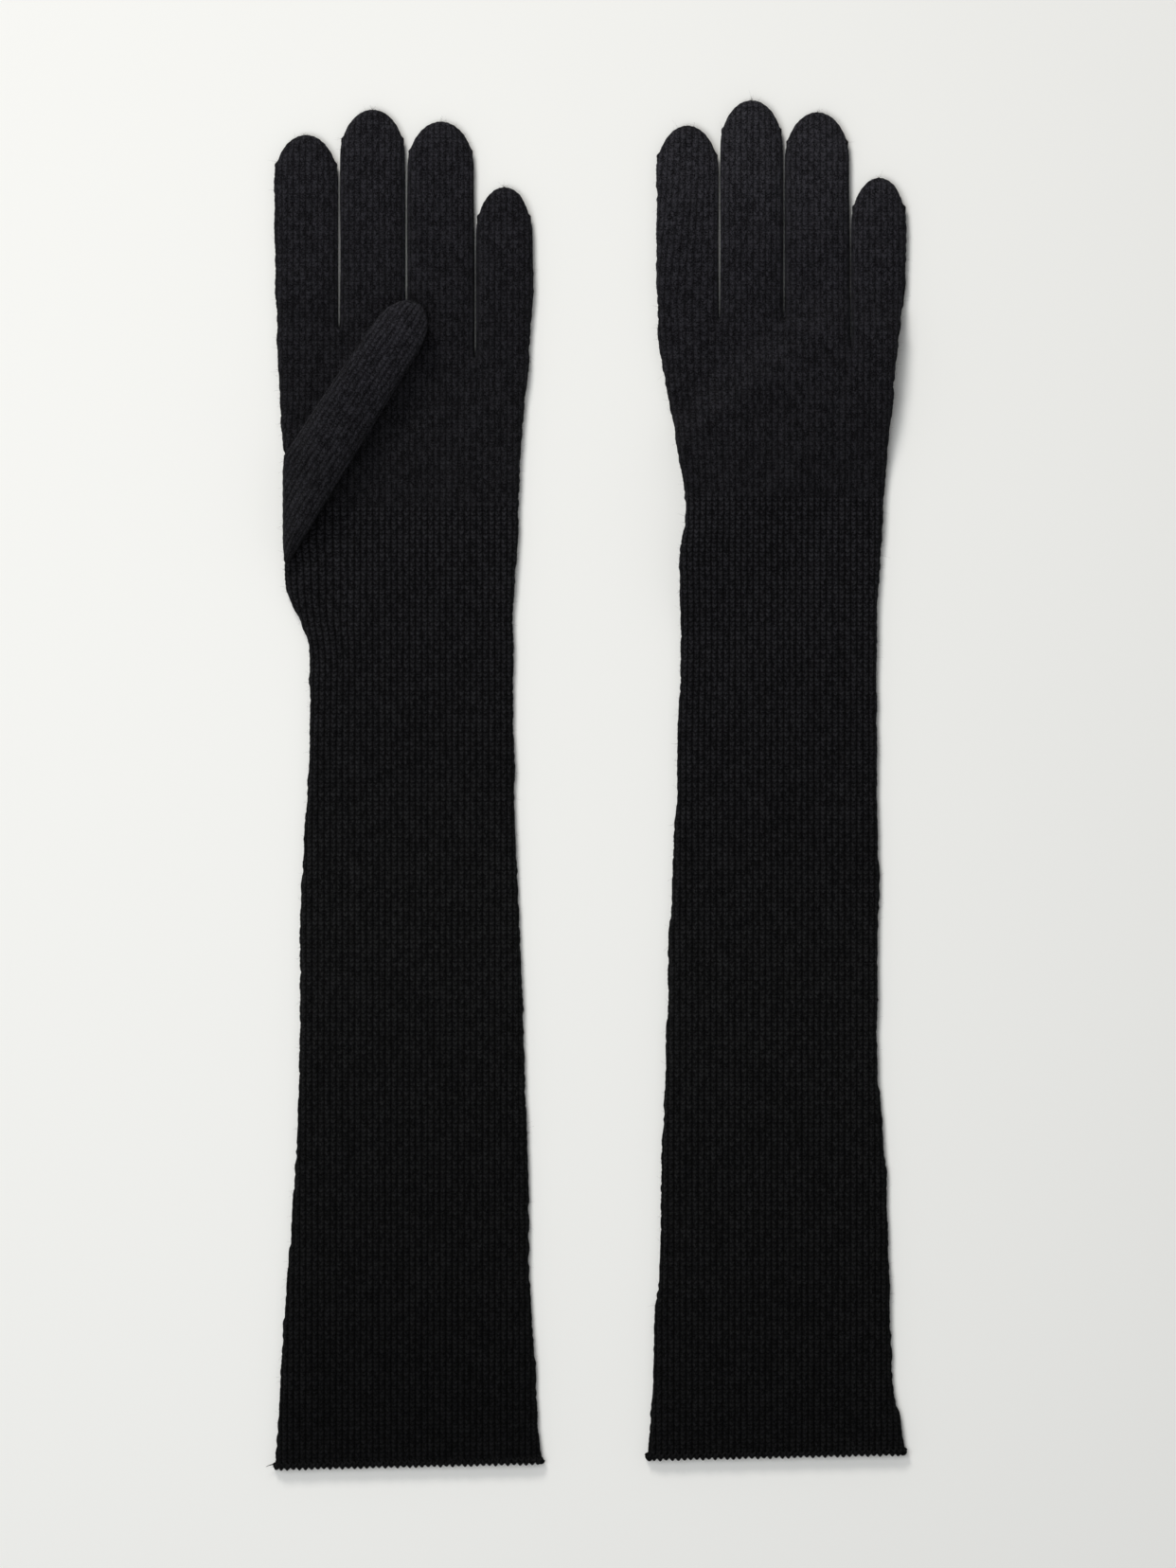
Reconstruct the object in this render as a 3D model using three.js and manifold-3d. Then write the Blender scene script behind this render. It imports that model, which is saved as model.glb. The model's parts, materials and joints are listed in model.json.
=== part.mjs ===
// A pair of long knitted gloves lying flat side by side, in millimetres. +Y runs from the arm
// openings to the fingertips, +X to the right and +Z up from the table. The left glove lies palm up
// with its thumb folded over the palm, the right one back up with its thumb folded under the palm.
// Each glove is one seamless tube of knit, divided here at its cast-on edge and at its folds.
import * as THREE from 'three';
import { mergeVertices } from 'three/addons/utils/BufferGeometryUtils.js';
import Module from 'manifold-3d';

const solidKit = await Module();
solidKit.setup();

// The knit
const wall = 1.0; // one layer
const hollow = 4.4; // room between the two layers
const foldGap = 0.3; // clearance between neighbouring lengths of the tube
const fingerGap = 0.6; // daylight between two fingers
const edgeSwell = 0.3; // how far the cast-on edge stands out on each side

// Lengths along the arm
const cuffEdgeLength = 5;
const upperSleeveLength = 115; // cast-on edge to elbow fold
const forearmLength = 184; // elbow fold to wrist fold
const palmLength = 123; // wrist fold to the tall crotches
const crotchToFold = 15; // tall crotches to the fingers' lower folds

// Widths laid flat
const hemWidth = 99.5;
const flareWidth = 93.3; // where the hem's flare ends
const flareHeight = 50; // hem to that place
const elbowWidth = 86;
const forearmWidth = 80.2; // halfway along the forearm
const wristWidth = 76.3;

// Fingers: width, tip above the tall crotches, lower fold to upper fold, and how far the crotch
// beside the finger lies below the tall ones
const fingers = [
  { name: 'index', width: 24.1, reach: 72, lower: 28, drop: 0 },
  { name: 'middle', width: 24.5, reach: 81.5, lower: 32, drop: 0 },
  { name: 'ring', width: 25.2, reach: 77, lower: 30, drop: 0 },
  { name: 'little', width: 21.3, reach: 52.5, lower: 15, drop: 11 },
];
const fingerTipRound = 18; // length over which a finger's end rounds off

// Thumb
const thumbRise = 53.5; // wrist fold to the middle of the thumb's root
const thumbLength = 92.6; // root to tip
const thumbRootWidth = 24;
const thumbTipWidth = 20;
const thumbTipRound = 15;
const thumbLower = 50; // root to the thumb's own fold
const gussetLength = 20; // where the palm widens towards the thumb's root
const coverMargin = 3.5; // how far cloth raised by a thumb stays level beside it
const coverRamp = 15; // how far it takes to come down again

// How each glove lies. Sides are half widths from the arm's centre line, sways move the middle.
const leftLay = {
  name: 'left',
  centre: -67.4,
  hem: 0,
  ease: 1,
  sway: { hem: -0.5, flare: -0.5, elbow: 1.0, forearm: 0, wrist: 0.5, fingers: -2.3 },
  thumbAngle: 33,
  thumbUnder: false,
  foldSide: 46.8,
  palmSide: 48.8,
  heelSide: 40.4,
  outerSide: 42,
};
const rightLay = {
  name: 'right',
  centre: 70.2,
  hem: 3.5,
  ease: 0.962,
  sway: { hem: -0.2, flare: -1.7, elbow: -1.7, forearm: -0.5, wrist: 0.5, fingers: 1.4 },
  thumbAngle: 51,
  thumbUnder: true,
  foldSide: 37.3,
  palmSide: 41.3,
  heelSide: 39.4,
  outerSide: 42.4,
};

// Facets
const acrossPanel = 2; // divisions across a level panel
const acrossRaised = 12; // divisions across a panel that rises over a thumb
const roundDivisions = 4; // divisions of each rounded edge
const tipDivisions = 5; // rings over a rounded end
const tipTurn = 83; // how far round a rounded end its last ring lies, in degrees
const stationStep = 24; // longest stretch between rings on level cloth
const raisedStep = 8; // longest stretch between rings where the cloth rises
const tipFlattening = 0.4; // share of the thickness that a rounded end loses
const through = 1; // how far a cut runs past the surface it opens
const solidMerge = 1e-4;

const thick = hollow + 2 * wall; // the flattened tube from face to face
const elbowPlace = cuffEdgeLength + upperSleeveLength;
const wristPlace = elbowPlace + forearmLength;
const crotchPlace = wristPlace + palmLength;
const foldPlace = crotchPlace + crotchToFold;
const radians = THREE.MathUtils.degToRad;
const knit = new THREE.MeshStandardMaterial({ color: 0x17171a, roughness: 0.95, metalness: 0 });

// A value read off rows of [place, value] by a smooth curve through them.
function along(rows, place) {
  const last = rows.length - 1;
  let i = 0;
  while (i < last - 1 && place > rows[i + 1][0]) i += 1;
  const slope = (k) => {
    const low = rows[Math.max(k - 1, 0)];
    const high = rows[Math.min(k + 1, last)];
    return (high[1] - low[1]) / (high[0] - low[0]);
  };
  const [start, startValue] = rows[i];
  const [end, endValue] = rows[i + 1];
  const span = end - start;
  const t = THREE.MathUtils.clamp((place - start) / span, 0, 1);
  const rise = (3 - 2 * t) * t * t;
  const lead = t * (1 - t) * (1 - t) * span * slope(i);
  const trail = t * t * (1 - t) * span * slope(i + 1);
  return startValue + rise * (endValue - startValue) + lead - trail;
}

// Evenly spread places from low to high, both included.
function places(low, high, step) {
  const count = Math.max(1, Math.ceil((high - low) / step));
  return Array.from({ length: count + 1 }, (_, i) => low + ((high - low) * i) / count);
}

// Level cloth.
function level() {
  return 0;
}

// One ring of a flattened tube at a given y: level faces and half-round edges, anticlockwise seen
// from the arm. Raised cloth takes its extra height from lift(x, y).
function ring({ y, left, right, low, high, lift }) {
  const across = lift === level ? acrossPanel : acrossRaised;
  const half = (high - low) / 2;
  const radius = Math.min(half, ((right - left) / 2) * 0.95);
  const middle = (low + high) / 2;
  const points = [];
  const put = (x, z) => points.push([x, y, z + lift(x, y)]);
  const panel = (i) => left + radius + ((right - left - 2 * radius) * i) / across;
  for (let i = 0; i <= across; i += 1) put(panel(i), low);
  for (let j = 1; j < roundDivisions; j += 1) {
    const turn = Math.PI * (j / roundDivisions - 0.5);
    put(right - radius + radius * Math.cos(turn), middle + half * Math.sin(turn));
  }
  for (let i = across; i >= 0; i -= 1) put(panel(i), high);
  for (let j = 1; j < roundDivisions; j += 1) {
    const turn = Math.PI * (j / roundDivisions + 0.5);
    put(left + radius + radius * Math.cos(turn), middle + half * Math.sin(turn));
  }
  return points;
}

// A closed solid through the rings, capped at both ends.
function loft(rings) {
  const count = rings[0].length;
  const points = rings.flat();
  const faces = [];
  for (let k = 0; k < rings.length - 1; k += 1) {
    for (let i = 0; i < count; i += 1) {
      const next = (i + 1) % count;
      const [a, b] = [k * count + i, k * count + next];
      const [c, d] = [b + count, a + count];
      faces.push(a, d, c, a, c, b);
    }
  }
  const cap = (k, forward) => {
    const centre = new THREE.Vector3();
    rings[k].forEach((p) => centre.add(new THREE.Vector3(...p)));
    const hub = points.push(centre.divideScalar(count).toArray()) - 1;
    for (let i = 0; i < count; i += 1) {
      const [near, next] = [k * count + i, k * count + ((i + 1) % count)];
      faces.push(hub, forward ? next : near, forward ? near : next);
    }
  };
  cap(0, false);
  cap(rings.length - 1, true);
  const geometry = new THREE.BufferGeometry();
  geometry.setAttribute('position', new THREE.Float32BufferAttribute(points.flat(), 3));
  geometry.setIndex(faces);
  return solidOf(geometry);
}

function solidOf(geometry) {
  const merged = mergeVertices(geometry, solidMerge);
  const vertProperties = new Float32Array(merged.attributes.position.array);
  const triVerts = new Uint32Array(merged.index.array);
  return new solidKit.Manifold(new solidKit.Mesh({ numProp: 3, vertProperties, triVerts }));
}

function geometryOf(solid) {
  const mesh = solid.getMesh();
  const geometry = new THREE.BufferGeometry();
  geometry.setAttribute('position', new THREE.BufferAttribute(mesh.vertProperties, 3));
  geometry.setIndex(new THREE.BufferAttribute(mesh.triVerts, 1));
  geometry.computeVertexNormals();
  return geometry;
}

// A box from its lowest corner to its highest, for cutting.
function block(low, high) {
  const size = high.map((value, i) => value - low[i]);
  const geometry = new THREE.BoxGeometry(...size);
  geometry.translate(...high.map((value, i) => (value + low[i]) / 2));
  geometry.deleteAttribute('normal');
  geometry.deleteAttribute('uv');
  return solidOf(geometry);
}

function meshOf(name, solid) {
  const mesh = new THREE.Mesh(geometryOf(solid), knit.clone());
  mesh.name = name;
  return mesh;
}

// The outside of a length of tube between two places, or with inset its room inside. sides(y) gives
// the two edges. The room runs on past an open end, so that it cuts right through.
function tubeBody({ from, to, sides, inset = 0, open = [true, true], lift = level, swell = 0 }) {
  const past = inset > 0 ? through : 0;
  const low = open[0] ? from - past : from + inset;
  const high = open[1] ? to + past : to - inset;
  const rings = places(low, high, lift === level ? stationStep : raisedStep).map((y) => {
    const [left, right] = sides(THREE.MathUtils.clamp(y, from, to));
    return ring({
      y,
      left: left + inset - swell,
      right: right - inset + swell,
      low: inset,
      high: thick - inset + 2 * swell,
      lift,
    });
  });
  return loft(rings);
}

// An open length of tube.
function tubeLength(options) {
  return tubeBody(options).subtract(tubeBody({ ...options, inset: wall, swell: 0 }));
}

// A length of tube that rounds off to a closed tip, or with inset its room inside.
function roundedBody({ from, tip, round, sides, inset = 0 }) {
  const shoulder = tip - round;
  const end = tip - inset;
  const start = inset > 0 ? from - through : from;
  const straight = places(start, shoulder, stationStep).slice(0, -1);
  const rings = straight.map((y) => [y, 0]);
  for (let i = 0; i <= tipDivisions; i += 1) {
    const turn = radians((tipTurn * i) / tipDivisions);
    rings.push([shoulder + ((end - shoulder) * Math.sin(turn)) / Math.sin(radians(tipTurn)), turn]);
  }
  return loft(
    rings.map(([y, turn]) => {
      const [left, right] = sides(Math.max(y, from));
      const half = ((right - left) / 2 - inset) * Math.cos(turn);
      const middle = (left + right) / 2;
      const sunk = tipFlattening * thick * Math.sin(turn) ** 3;
      const high = inset > 0 ? thick - inset - sunk * (hollow / thick) : thick - sunk;
      return ring({ y, left: middle - half, right: middle + half, low: inset, high, lift: level });
    }),
  );
}

function roundedLength(options) {
  return roundedBody(options).subtract(roundedBody({ ...options, inset: wall }));
}

// The two edges of the sleeve, from the hem up to the wrist fold.
function sleeveSides(lay) {
  const { ease, sway } = lay;
  const row = (place, width, shift) => [place, (width * ease) / 2, shift];
  const rows = [
    row(0, hemWidth, sway.hem),
    row(flareHeight, flareWidth, sway.flare),
    row(elbowPlace, elbowWidth, sway.elbow),
    row(elbowPlace + forearmLength / 2, forearmWidth, sway.forearm),
    row(wristPlace, wristWidth, sway.wrist),
  ];
  const halves = rows.map(([place, half]) => [place, half]);
  const shifts = rows.map(([place, , shift]) => [place, shift]);
  return (y) => {
    const [half, shift] = [along(halves, y), along(shifts, y)];
    return [shift - half, shift + half];
  };
}

// Where the four fingers lie across the hand, thumb side first.
function fingerRow(lay) {
  const widths = fingers.map((finger) => finger.width * lay.ease);
  const total = widths.reduce((sum, width) => sum + width, 0) + fingerGap * (fingers.length - 1);
  let left = lay.sway.fingers - total / 2;
  return widths.map((width) => {
    const edges = [left, left + width];
    left += width + fingerGap;
    return edges;
  });
}

// Half the length of the thumb's slanting root along the fold line.
function rootHalf(lay, inset) {
  return (thumbRootWidth / 2 - inset) / Math.sin(radians(lay.thumbAngle));
}

// The two edges of the hand, from the wrist fold up to the fingers' lower folds.
function handSides(lay) {
  const wristHalf = (wristWidth * lay.ease) / 2;
  const row = fingerRow(lay);
  const root = wristPlace + thumbRise;
  const reach = rootHalf(lay, 0);
  const thumbSide = [
    [wristPlace, wristHalf - lay.sway.wrist],
    [root - reach - gussetLength, wristHalf - lay.sway.wrist],
    [root - reach, lay.foldSide],
    [root + reach, lay.foldSide],
    [(root + reach + foldPlace) / 2, lay.palmSide],
    [foldPlace, -row[0][0]],
  ];
  const outerSide = [
    [wristPlace, wristHalf + lay.sway.wrist],
    [root, lay.heelSide],
    [(root + crotchPlace) / 2, lay.outerSide],
    [foldPlace, row[fingers.length - 1][1]],
  ];
  return (y) => [-along(thumbSide, y), along(outerSide, y)];
}

// The middle of the thumb's root, on the fold line.
function thumbRoot(lay) {
  return new THREE.Vector2(-lay.foldSide, wristPlace + thumbRise);
}

function thumbDirection(lay) {
  const turn = radians(lay.thumbAngle);
  return new THREE.Vector2(Math.sin(turn), Math.cos(turn));
}

// How far the cloth of a hand is raised by a thumb under it.
function liftOver(lay) {
  if (!lay.thumbUnder) return level;
  const direction = thumbDirection(lay);
  const start = thumbRoot(lay).addScaledVector(direction, -thumbRootWidth);
  const end = thumbRoot(lay).addScaledVector(direction, thumbLength - thumbTipWidth / 2);
  const run = end.clone().sub(start);
  const levelReach = thumbRootWidth / 2 + coverMargin;
  return (x, y) => {
    const place = new THREE.Vector2(x, y);
    const share = place.clone().sub(start).dot(run) / run.lengthSq();
    const nearest = start.clone().addScaledVector(run, THREE.MathUtils.clamp(share, 0, 1));
    const away = (place.distanceTo(nearest) - levelReach) / coverRamp;
    return (thick + foldGap) * (1 - THREE.MathUtils.smoothstep(away, 0, 1));
  };
}

function cuffEdge(lay) {
  const sides = sleeveSides(lay);
  return tubeLength({ from: 0, to: cuffEdgeLength - foldGap, sides, swell: edgeSwell });
}

function upperSleeve(lay) {
  return tubeLength({ from: cuffEdgeLength, to: elbowPlace - foldGap / 2, sides: sleeveSides(lay) });
}

function forearm(lay) {
  const [from, to] = [elbowPlace + foldGap / 2, wristPlace - foldGap / 2];
  return tubeLength({ from, to, sides: sleeveSides(lay) });
}

// The palm and back of the hand with the roots of the four fingers, and the slot that leads into
// the thumb.
function hand(lay) {
  const [from, to] = [wristPlace + foldGap / 2, foldPlace - foldGap / 2];
  const shape = { from, to, sides: handSides(lay), lift: liftOver(lay) };
  const row = fingerRow(lay);
  const above = 3 * thick;
  let outside = tubeBody(shape);
  let inside = tubeBody({ ...shape, inset: wall });
  for (let i = 1; i < fingers.length; i += 1) {
    const crotch = crotchPlace - Math.max(fingers[i - 1].drop, fingers[i].drop);
    const [left, right] = [row[i - 1][1], row[i][0]];
    const end = to + 2 * through;
    outside = outside.subtract(block([left, crotch, -above], [right, end, above]));
    const webLow = [left - wall, crotch - wall, -above];
    inside = inside.subtract(block(webLow, [right + wall, end, above]));
  }
  const slotHalf = rootHalf(lay, wall);
  const raised = lay.thumbUnder ? thick + foldGap : 0;
  const middle = wristPlace + thumbRise;
  const slot = block(
    [-lay.foldSide - through, middle - slotHalf, raised + wall],
    [-lay.foldSide + wall + hollow / 2, middle + slotHalf, raised + wall + hollow],
  );
  return outside.subtract(inside).subtract(slot);
}

function fingerSides(lay, i) {
  const edges = fingerRow(lay)[i];
  return () => edges;
}

function lowerFinger(lay, finger, i) {
  const [from, to] = [foldPlace + foldGap / 2, foldPlace + finger.lower - foldGap / 2];
  return tubeLength({ from, to, sides: fingerSides(lay, i) });
}

function fingerTip(lay, finger, i) {
  const from = foldPlace + finger.lower + foldGap / 2;
  const tip = crotchPlace + finger.reach;
  return roundedLength({ from, tip, round: fingerTipRound, sides: fingerSides(lay, i) });
}

// The thumb's tube in its own frame, along +Y from the middle of its root.
function thumbSides(y) {
  const share = THREE.MathUtils.clamp(y / (thumbLength - thumbTipRound), 0, 1);
  const half = (thumbRootWidth + (thumbTipWidth - thumbRootWidth) * share) / 2;
  return [-half, half];
}

// Lays a piece of thumb against its hand and trims it along the fold line.
function layThumb(lay, solid) {
  const root = thumbRoot(lay);
  const laid = geometryOf(solid);
  laid.deleteAttribute('normal');
  laid.rotateZ(-radians(lay.thumbAngle));
  laid.translate(root.x, root.y, lay.thumbUnder ? 0 : thick + foldGap);
  const far = 2 * thumbLength;
  const beyond = block([root.x - far, root.y - far, -far], [root.x + foldGap / 2, root.y + far, far]);
  return solidOf(laid).subtract(beyond);
}

function lowerThumb(lay) {
  const from = -rootHalf(lay, 0);
  return layThumb(lay, tubeLength({ from, to: thumbLower - foldGap / 2, sides: thumbSides }));
}

function thumbTip(lay) {
  const from = thumbLower + foldGap / 2;
  const tip = thumbLength;
  return layThumb(lay, roundedLength({ from, tip, round: thumbTipRound, sides: thumbSides }));
}

function glove(lay) {
  const group = new THREE.Group();
  const add = (name, solid) => group.add(meshOf(`${lay.name}_${name}`, solid));
  add('cuff_edge', cuffEdge(lay));
  add('upper_sleeve', upperSleeve(lay));
  add('forearm_sleeve', forearm(lay));
  add('hand', hand(lay));
  fingers.forEach((finger, i) => {
    add(`${finger.name}_finger_lower`, lowerFinger(lay, finger, i));
    add(`${finger.name}_finger_tip`, fingerTip(lay, finger, i));
  });
  add('thumb_lower', lowerThumb(lay));
  add('thumb_tip', thumbTip(lay));
  group.position.set(lay.centre, lay.hem, 0);
  return group;
}

const pair = new THREE.Group();
pair.add(glove(leftLay), glove(rightLay));

// The origin lies on the table, in the middle of the pair.
const middle = new THREE.Box3().setFromObject(pair).getCenter(new THREE.Vector3());
pair.position.set(-middle.x, -middle.y, 0);

export default pair;
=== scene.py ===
# A pair of long knitted gloves laid flat side by side, in metres with +Y towards the fingertips.
# The left glove lies palm up with its thumb over the palm, the right one back up with its thumb
# under the palm. Each is a flattened tube of knit, closed at the fingertips and open at the hem.
import json
import math

import bpy
import numpy as np
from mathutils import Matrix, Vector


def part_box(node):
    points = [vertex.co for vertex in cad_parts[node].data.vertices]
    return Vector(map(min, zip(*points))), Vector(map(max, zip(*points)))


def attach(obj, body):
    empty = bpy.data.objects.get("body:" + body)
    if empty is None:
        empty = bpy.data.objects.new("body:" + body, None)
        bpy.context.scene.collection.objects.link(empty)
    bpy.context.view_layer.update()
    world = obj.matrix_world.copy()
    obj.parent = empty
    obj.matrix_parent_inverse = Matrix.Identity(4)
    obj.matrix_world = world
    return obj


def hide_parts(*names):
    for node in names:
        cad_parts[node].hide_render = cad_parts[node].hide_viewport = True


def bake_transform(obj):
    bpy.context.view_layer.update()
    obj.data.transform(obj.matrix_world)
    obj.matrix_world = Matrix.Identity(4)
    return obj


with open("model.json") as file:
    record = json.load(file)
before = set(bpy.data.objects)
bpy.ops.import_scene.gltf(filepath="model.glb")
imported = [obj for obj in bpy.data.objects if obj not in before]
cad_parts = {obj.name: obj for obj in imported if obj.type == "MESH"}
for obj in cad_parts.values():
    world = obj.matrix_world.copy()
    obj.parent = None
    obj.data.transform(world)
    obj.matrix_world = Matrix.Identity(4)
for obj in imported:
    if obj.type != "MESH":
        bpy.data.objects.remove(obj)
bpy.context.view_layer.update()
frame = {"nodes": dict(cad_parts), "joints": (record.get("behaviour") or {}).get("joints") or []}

joints = {joint["name"]: joint for joint in frame["joints"]}
print("frame loaded")

view = {
    "distance": 2.4,
    "shownHeight": 0.5872,    # of the floor, from the bottom of the picture to its top
    "centre": (-0.0007, 0.0002),
    "sensor": 36,
}
light = {
    "keyFrom": (-0.6, 1.6, 1.5),
    "keySize": 0.7,
    "keyPower": 20.5,
    "keyColour": (1.0, 0.985, 0.955),
    "fillFrom": (-0.38, -0.06, 1.2),
    "fillSize": 0.9,
    "fillPower": 7.4,
    "fillColour": (0.95, 0.98, 1.0),
    "surround": (0.93, 0.95, 0.97),
    "surroundStrength": 0.305,
}
floorLook = {
    "size": 7.0,
    "colour": (0.930, 0.918, 0.884),
    "shade": 0.985,          # how much darker its darkest patches are
    "patches": (3.0, 2.0, 0.5),      # noises: how close, how many layers and how rough
    "grain": (900.0, 2.0, 0.5),
    "grainHeight": 0.0001,
    "grainStrength": 0.1,
    "roughness": 0.75,
    "gloss": 0.2,
}


def makeCamera():
    data = bpy.data.cameras.new("camera")
    data.sensor_width = view["sensor"]
    data.lens = view["sensor"] * view["distance"] / view["shownHeight"]
    camera = bpy.data.objects.new("camera", data)
    camera.location = (*view["centre"], view["distance"])
    bpy.context.scene.collection.objects.link(camera)
    bpy.context.scene.camera = camera


def makeLamp(name, place, size, power, colour):
    data = bpy.data.lights.new(name, "AREA")
    data.shape = "DISK"
    data.size = size
    data.energy = power
    data.color = colour
    lamp = bpy.data.objects.new(name, data)
    lamp.location = place
    lamp.rotation_euler = (-lamp.location).to_track_quat("-Z", "Y").to_euler()
    bpy.context.scene.collection.objects.link(lamp)


def makeSurround():
    world = bpy.data.worlds.new("surround")
    world.use_nodes = True
    sky = world.node_tree.nodes["Background"]
    sky.inputs["Color"].default_value = (*light["surround"], 1)
    sky.inputs["Strength"].default_value = light["surroundStrength"]
    bpy.context.scene.world = world


makeCamera()
makeLamp("key", light["keyFrom"], light["keySize"], light["keyPower"], light["keyColour"])
makeLamp("fill", light["fillFrom"], light["fillSize"], light["fillPower"], light["fillColour"])
makeSurround()
bpy.context.scene.view_settings.view_transform = "Standard"
print("camera and lights made")


# A number or a colour inside a finish. Sums written with it add the nodes that work them out.
class Signal:
    def __init__(self, finish, socket):
        self.finish = finish
        self.socket = socket

    def __add__(self, other):
        return self.finish.sum("ADD", self, other)

    def __radd__(self, other):
        return self.finish.sum("ADD", other, self)

    def __sub__(self, other):
        return self.finish.sum("SUBTRACT", self, other)

    def __rsub__(self, other):
        return self.finish.sum("SUBTRACT", other, self)

    def __truediv__(self, other):
        return self.finish.sum("DIVIDE", self, other)

    def __rtruediv__(self, other):
        return self.finish.sum("DIVIDE", other, self)

    def __mul__(self, other):
        return self.finish.sum("MULTIPLY", self, other)

    def __rmul__(self, other):
        return self.finish.sum("MULTIPLY", other, self)

    def __pow__(self, other):
        return self.finish.sum("POWER", self, other)


class Finish:
    def __init__(self, name):
        self.material = bpy.data.materials.new(name)
        self.material.use_nodes = True
        self.tree = self.material.node_tree
        self.surface = self.tree.nodes["Principled BSDF"]

    # Adds a node: its settings first, then what goes into its sockets.
    def node(self, kind, settings=None, **inputs):
        made = self.tree.nodes.new(kind)
        for key, value in (settings or {}).items():
            if key == "stops":
                self.setStops(made.color_ramp.elements, value)
            else:
                setattr(made, key, value)
        for key, value in inputs.items():
            self.feed(made.inputs[int(key[1:])], value)
        return made

    def setStops(self, elements, stops):
        while len(elements) < len(stops):
            elements.new(1.0)
        for element, (place, colour) in zip(elements, stops):
            element.position = place
            element.color = (*colour, 1)

    def feed(self, socket, value):
        if isinstance(value, Signal):
            self.tree.links.new(value.socket, socket)
        else:
            socket.default_value = value

    def out(self, node, which=0):
        return Signal(self, node.outputs[which])

    def sum(self, operation, first, second=0.0, clamp=False):
        settings = {"operation": operation, "use_clamp": clamp}
        return self.out(self.node("ShaderNodeMath", settings, i0=first, i1=second))

    def clamped(self, value):
        return self.sum("ADD", value, 0.0, clamp=True)

    def scaled(self, colour, amount):
        made = self.node("ShaderNodeVectorMath", {"operation": "SCALE"}, i0=colour, i3=amount)
        return self.out(made)

    def blendColours(self, share, first, second):
        mix = self.node("ShaderNodeMix", {"data_type": "RGBA"}, i0=share, i6=first, i7=second)
        return self.out(mix, 2)

    def settle(self, values):
        for name, value in values.items():
            self.surface.inputs[name].default_value = value

    def noise(self, place, scale, detail, roughness):
        made = self.node("ShaderNodeTexNoise", None, i0=place, i2=scale, i3=detail, i4=roughness)
        return self.out(made)


knitLook = {
    # The colour from the hem, at 0, to the fingertips, at 1: it gets paler and bluer. This is painted
    # shade and light on one yarn: the sleeve is darkened for the shade in its deeper ribs, the hand
    # lightened for the light that falls on it.
    "tones": (
        (0.00, (0.0038, 0.0038, 0.0040)),
        (0.10, (0.0050, 0.0050, 0.0052)),
        (0.16, (0.0057, 0.0057, 0.0059)),
        (0.31, (0.0071, 0.0071, 0.0073)),
        (0.38, (0.0077, 0.0077, 0.0079)),
        (0.47, (0.0077, 0.0076, 0.0082)),
        (0.55, (0.0090, 0.0088, 0.0098)),
        (0.65, (0.0107, 0.0104, 0.0118)),
        (0.76, (0.0120, 0.0116, 0.0136)),
        (0.86, (0.0160, 0.0154, 0.0184)),
        (0.93, (0.0236, 0.0228, 0.0268)),
    ),
    "courses": 330,    # counted over the whole painted ramp of light and shade
    "fibre": (0.034, 0.034, 0.038, 1),
    "fibreShare": 0.5,
    "roughness": 0.95,
    "sheen": 0.02,
    "sheenRoughness": 0.5,
    "gloss": 0.02,
    "bump": 0.0006,
    "bumpStrength": 0.9,
    "wale": 2.28,      # a stitch's width and height in millimetres, for the grain
    "course": 1.72,
    "lean": 0.5,       # how far a stitch's legs slope, in stitches
    "sway": (0.16, 0.35),    # how unevenly the stitches lie, across and up
    "cleft": 0.18,     # how deep the line down the middle of a stitch is in the bump, and how dark in the colour, which is painted shade
    "mottle": 0.7,
    "grain": (1.9, 4.0, 0.72),    # noises: how close, how many layers and how rough
    "fine": (5.0, 3.0, 0.65),
    "wide": (0.11, 3.0, 0.55),
    "contrasts": (4.4, 2.8, 0.55),          # in the speckle: of grain, fine grain and single legs
    "heights": (0.8, 0.06, 1.1, 0.45),      # of stitch, twist, grain and fine grain
}


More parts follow.
